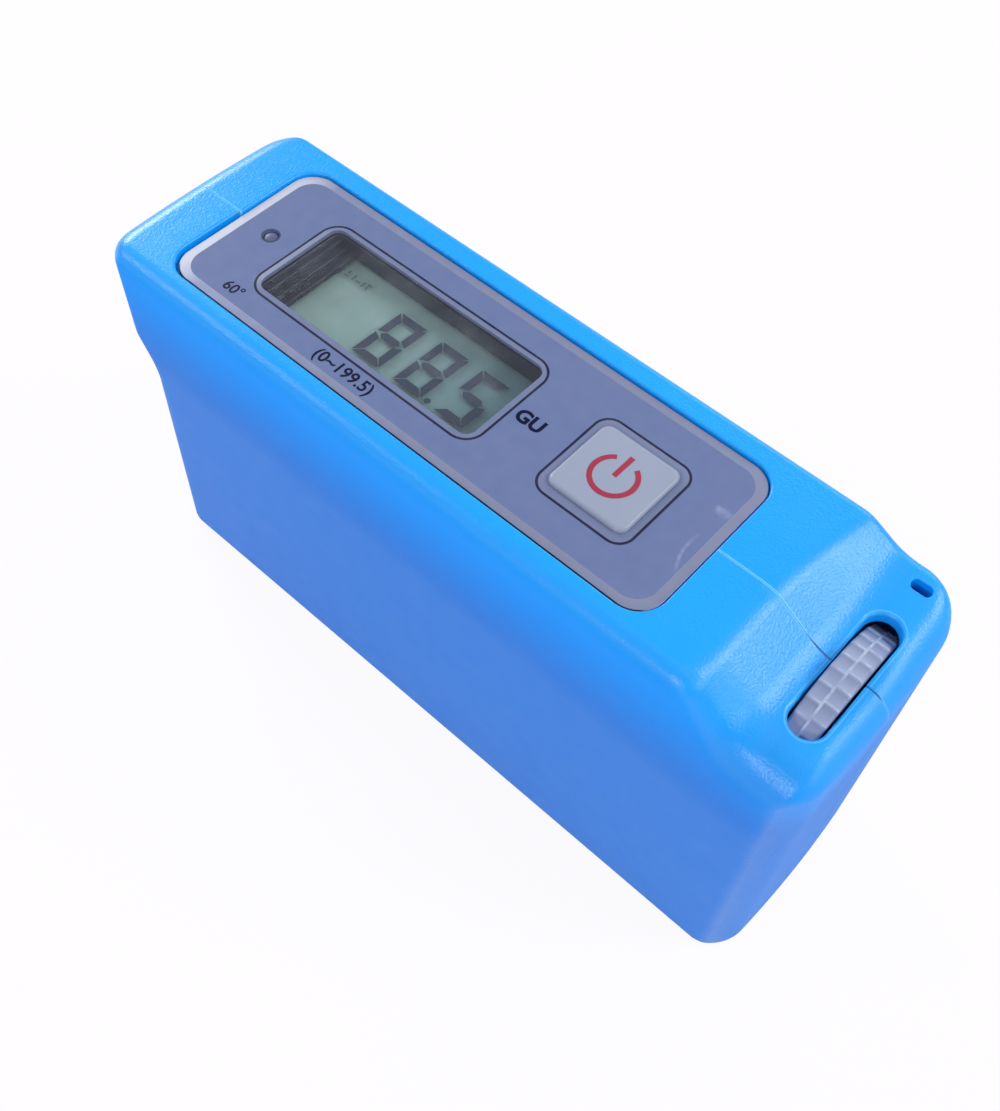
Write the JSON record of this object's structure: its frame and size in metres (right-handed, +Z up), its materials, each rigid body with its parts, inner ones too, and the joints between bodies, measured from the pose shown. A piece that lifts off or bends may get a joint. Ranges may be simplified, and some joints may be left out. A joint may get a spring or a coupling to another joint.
{
  "type": "gloss meter",
  "caption": "Hand-held 60 degree gloss meter: moulded case in two halves, recessed display label, power key, calibration thumbwheel and base plate with a measuring aperture.",
  "frame": {"origin": "under the middle of the case, on the surface that the base plate rests on", "axes": "+X along the face label in its reading direction, towards the calibration wheel; +Y from the front shell to the rear shell; +Z up"},
  "size_m": [0.115, 0.0336, 0.0593],
  "materials": {
    "case_blue": "fine satin grain, bright blue moulded plastic",
    "label_grey": "printed film, blue grey with a pale border",
    "clear_plastic": "clear",
    "black_plastic": "matte black",
    "display_glass": "reflective liquid crystal panel, grey green",
    "key_grey": "satin pale grey",
    "wheel_grey": "satin grey",
    "board_green": "circuit board",
    "chip_black": "moulded chip",
    "rubber": "elastomer",
    "black_metal": "black anodised",
    "steel": "plated",
    "brass": "plain",
    "optical_glass": "polished",
    "filter_glass": "green filter glass",
    "sensor_dark": "dark resin",
    "battery_sleeve": "plain dark sleeve"
  },
  "bodies": {
    "case": {"front_shell": "case_blue", "rear_shell": "case_blue", "face_label": "label_grey", "display_window": "clear_plastic", "indicator_lens": "clear_plastic", "indicator_diode": "clear_plastic", "display_bezel": "black_plastic", "potentiometer": "black_plastic", "lamp_holder": "black_plastic", "detector_holder": "black_plastic", "battery_tray": "black_plastic", "display_panel": "display_glass", "main_board": "board_green", "controller_chip": "chip_black", "amplifier_chip": "chip_black", "switch_body": "chip_black", "front_contact_strip": "rubber", "rear_contact_strip": "rubber", "base_plate": "black_metal", "optics_block": "black_metal", "source_lens_ring": "black_metal", "receiver_lens_ring": "black_metal", "source_stop": "black_metal", "receiver_stop": "black_metal", "source_lens": "optical_glass", "receiver_lens": "optical_glass", "lamp": "optical_glass", "colour_filter": "filter_glass", "photodiode": "sensor_dark", "battery": "battery_sleeve", "positive_contact": "steel", "negative_contact": "steel", "battery_spring": "steel", "potentiometer_bracket": "steel", "potentiometer_nut": "brass", "case_screw_1": "steel", "optics_screw_1": "steel", "case_screw_2": "steel", "optics_screw_2": "steel", "case_screw_3": "steel", "optics_screw_3": "steel", "case_screw_4": "steel", "optics_screw_4": "steel", "board_screw_1": "steel", "board_screw_2": "steel"},
    "key": {"power_key": "key_grey", "switch_plunger": "key_grey"},
    "wheel": {"calibration_wheel": "wheel_grey", "wheel_shaft": "steel"},
    "door": {"battery_door": "case_blue"}
  },
  "joints": [
    {"name": "key_press", "type": "slide", "parent": "case", "child": "key", "axis": [0, 0, 1], "range_m": [-0.0005, 0], "stiffness_N_per_m": 800},
    {"name": "wheel_turn", "type": "hinge", "parent": "case", "child": "wheel", "pos_m": [0.05145, -0.0006, 0.04225], "axis": [1, 0, 0], "range_deg": [-135, 135]},
    {"name": "door_swing", "type": "hinge", "parent": "case", "child": "door", "pos_m": [-0.02985, 0.01675, 0.0331], "axis": [0, 0, 1], "range_deg": [0, 60]}
  ]
}
